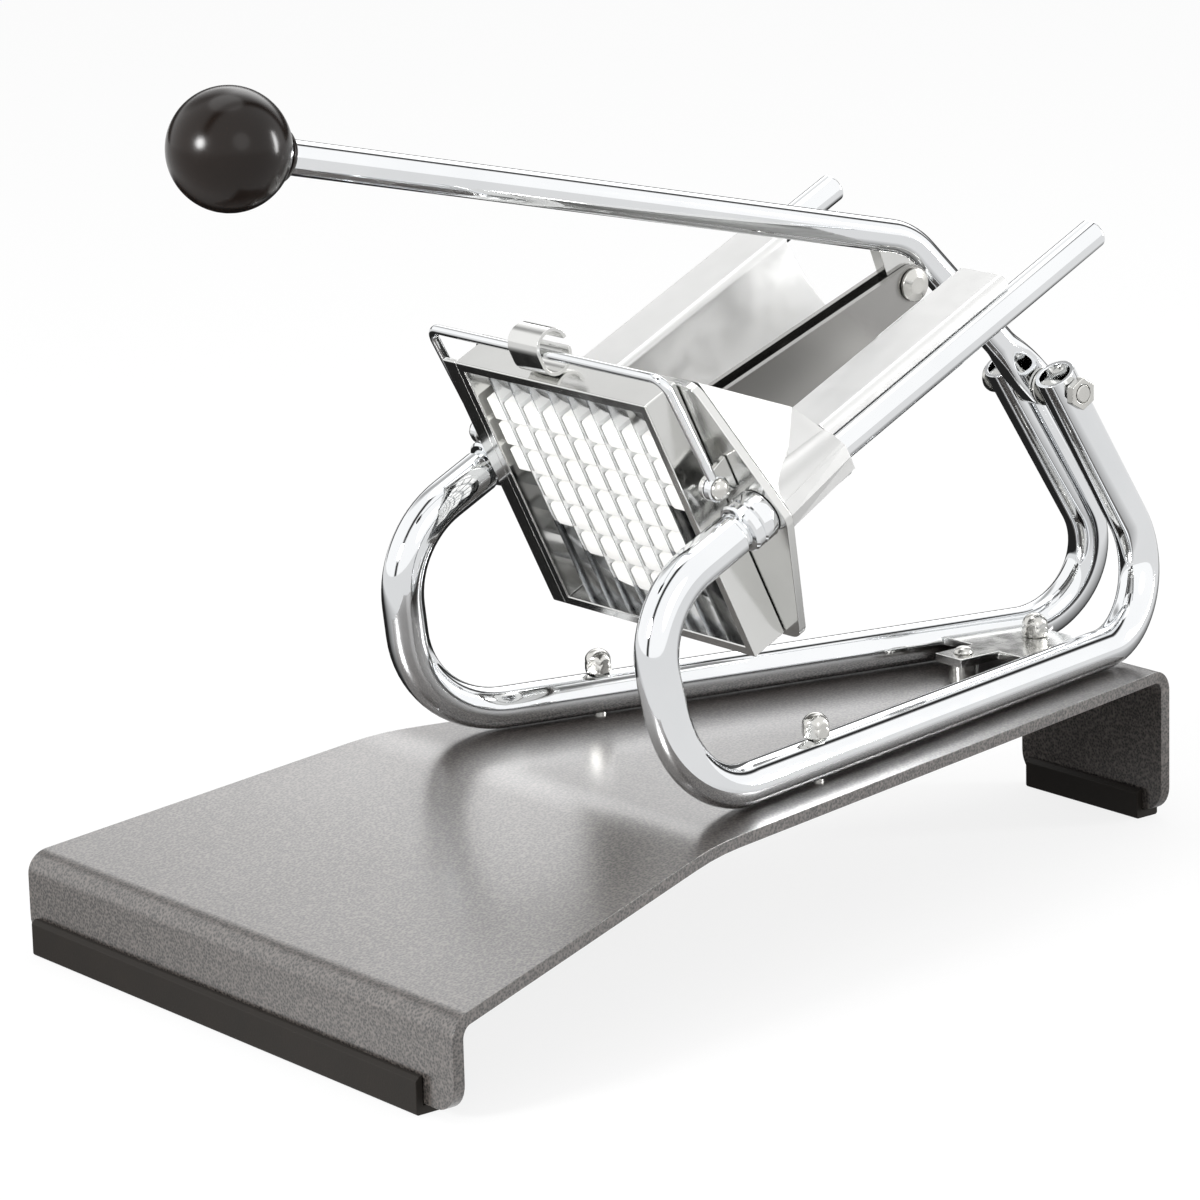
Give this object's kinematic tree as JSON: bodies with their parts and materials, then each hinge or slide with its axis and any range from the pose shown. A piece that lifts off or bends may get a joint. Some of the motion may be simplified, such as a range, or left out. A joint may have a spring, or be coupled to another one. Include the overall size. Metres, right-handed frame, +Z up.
{
  "type": "french fry cutter",
  "caption": "Lever-driven french fry cutter: a pegged pusher in an inclined trough presses a potato through a square blade grid, on bent tubes and a folded base.",
  "frame": {"origin": "centre of the whole cutter's box seen from above, on the worktop that the rubber strips stand on", "axes": "+X from the knob end and blade grid towards the lever pivot, +Y towards the far side, +Z up"},
  "size_m": [0.3868, 0.228, 0.2916],
  "materials": {
    "hammered_paint": "hammered",
    "rubber": "matte",
    "chrome": "polished",
    "steel": "polished stainless sheet",
    "blade_steel": "ground stainless blades",
    "pusher_plastic": "moulded",
    "knob_black": "glossy phenolic"
  },
  "bodies": {
    "frame": {"base_plate": "hammered_paint", "front_rubber_strip": "rubber", "rear_rubber_strip": "rubber", "near_frame_tube": "chrome", "far_frame_tube": "chrome", "near_collar": "chrome", "far_collar": "chrome", "near_guide_rod": "chrome", "far_guide_rod": "chrome", "near_front_bolt": "steel", "far_front_bolt": "steel", "near_front_dome_nut": "steel", "far_front_dome_nut": "steel", "rear_cross_strap": "steel", "rear_strap_spacer": "steel", "front_strap_spacer": "steel", "rear_strap_bolt": "steel", "rear_strap_dome_nut": "steel", "front_strap_screw": "steel", "head_plate": "steel", "head_housing": "steel", "potato_trough": "steel", "grid_frame": "steel", "upright_blades": "blade_steel", "cross_blades": "blade_steel", "near_bail_lug": "steel", "far_bail_lug": "steel", "near_bail_pin": "steel", "far_bail_pin": "steel", "near_pivot_washer": "steel", "far_pivot_washer": "steel", "pivot_bolt": "steel", "pivot_nut": "steel"},
    "lever": {"lever_bar": "chrome", "lever_lug": "steel", "lever_knob": "knob_black", "knob_ring": "knob_black"},
    "arm": {"near_arm_plate": "steel", "far_arm_plate": "steel", "arm_spacer": "steel", "link_pin": "steel", "link_pin_nut": "steel"},
    "pusher": {"pusher_block": "pusher_plastic", "pusher_yoke": "steel", "pusher_pin": "steel", "near_yoke_screw": "steel", "far_yoke_screw": "steel"},
    "bail": {"wire_bail": "chrome"},
    "clip": {"latch_clip": "steel"}
  },
  "joints": [
    {"name": "lever_pivot", "type": "hinge", "parent": "frame", "child": "lever", "pos_m": [0.15083, 0, 0.1525], "axis": [0, 1, 0], "range_deg": [0, 75]},
    {"name": "pusher_slide", "type": "slide", "parent": "frame", "child": "pusher", "axis": [0.9003, 0, 0.4352], "range_m": [0, 0.0908]},
    {"name": "arm_link", "type": "hinge", "parent": "lever", "child": "arm", "pos_m": [0.09093, 0, 0.1958], "axis": [0, 1, 0], "range_deg": [-66.6, 0]},
    {"name": "bail_swing", "type": "hinge", "parent": "frame", "child": "bail", "pos_m": [-0.03963, 0, 0.15708], "axis": [0, -1, 0], "range_deg": [0, 75]},
    {"name": "clip_turn", "type": "hinge", "parent": "bail", "child": "clip", "pos_m": [-0.05953, 0, 0.19411], "axis": [0, -1, 0], "range_deg": [0, 15]}
  ],
  "couplings": [
    {"joint": "pusher_slide", "follows": "lever_pivot", "m_per_rad": 0.069353},
    {"joint": "arm_link", "follows": "lever_pivot", "ratio": -0.88718}
  ]
}
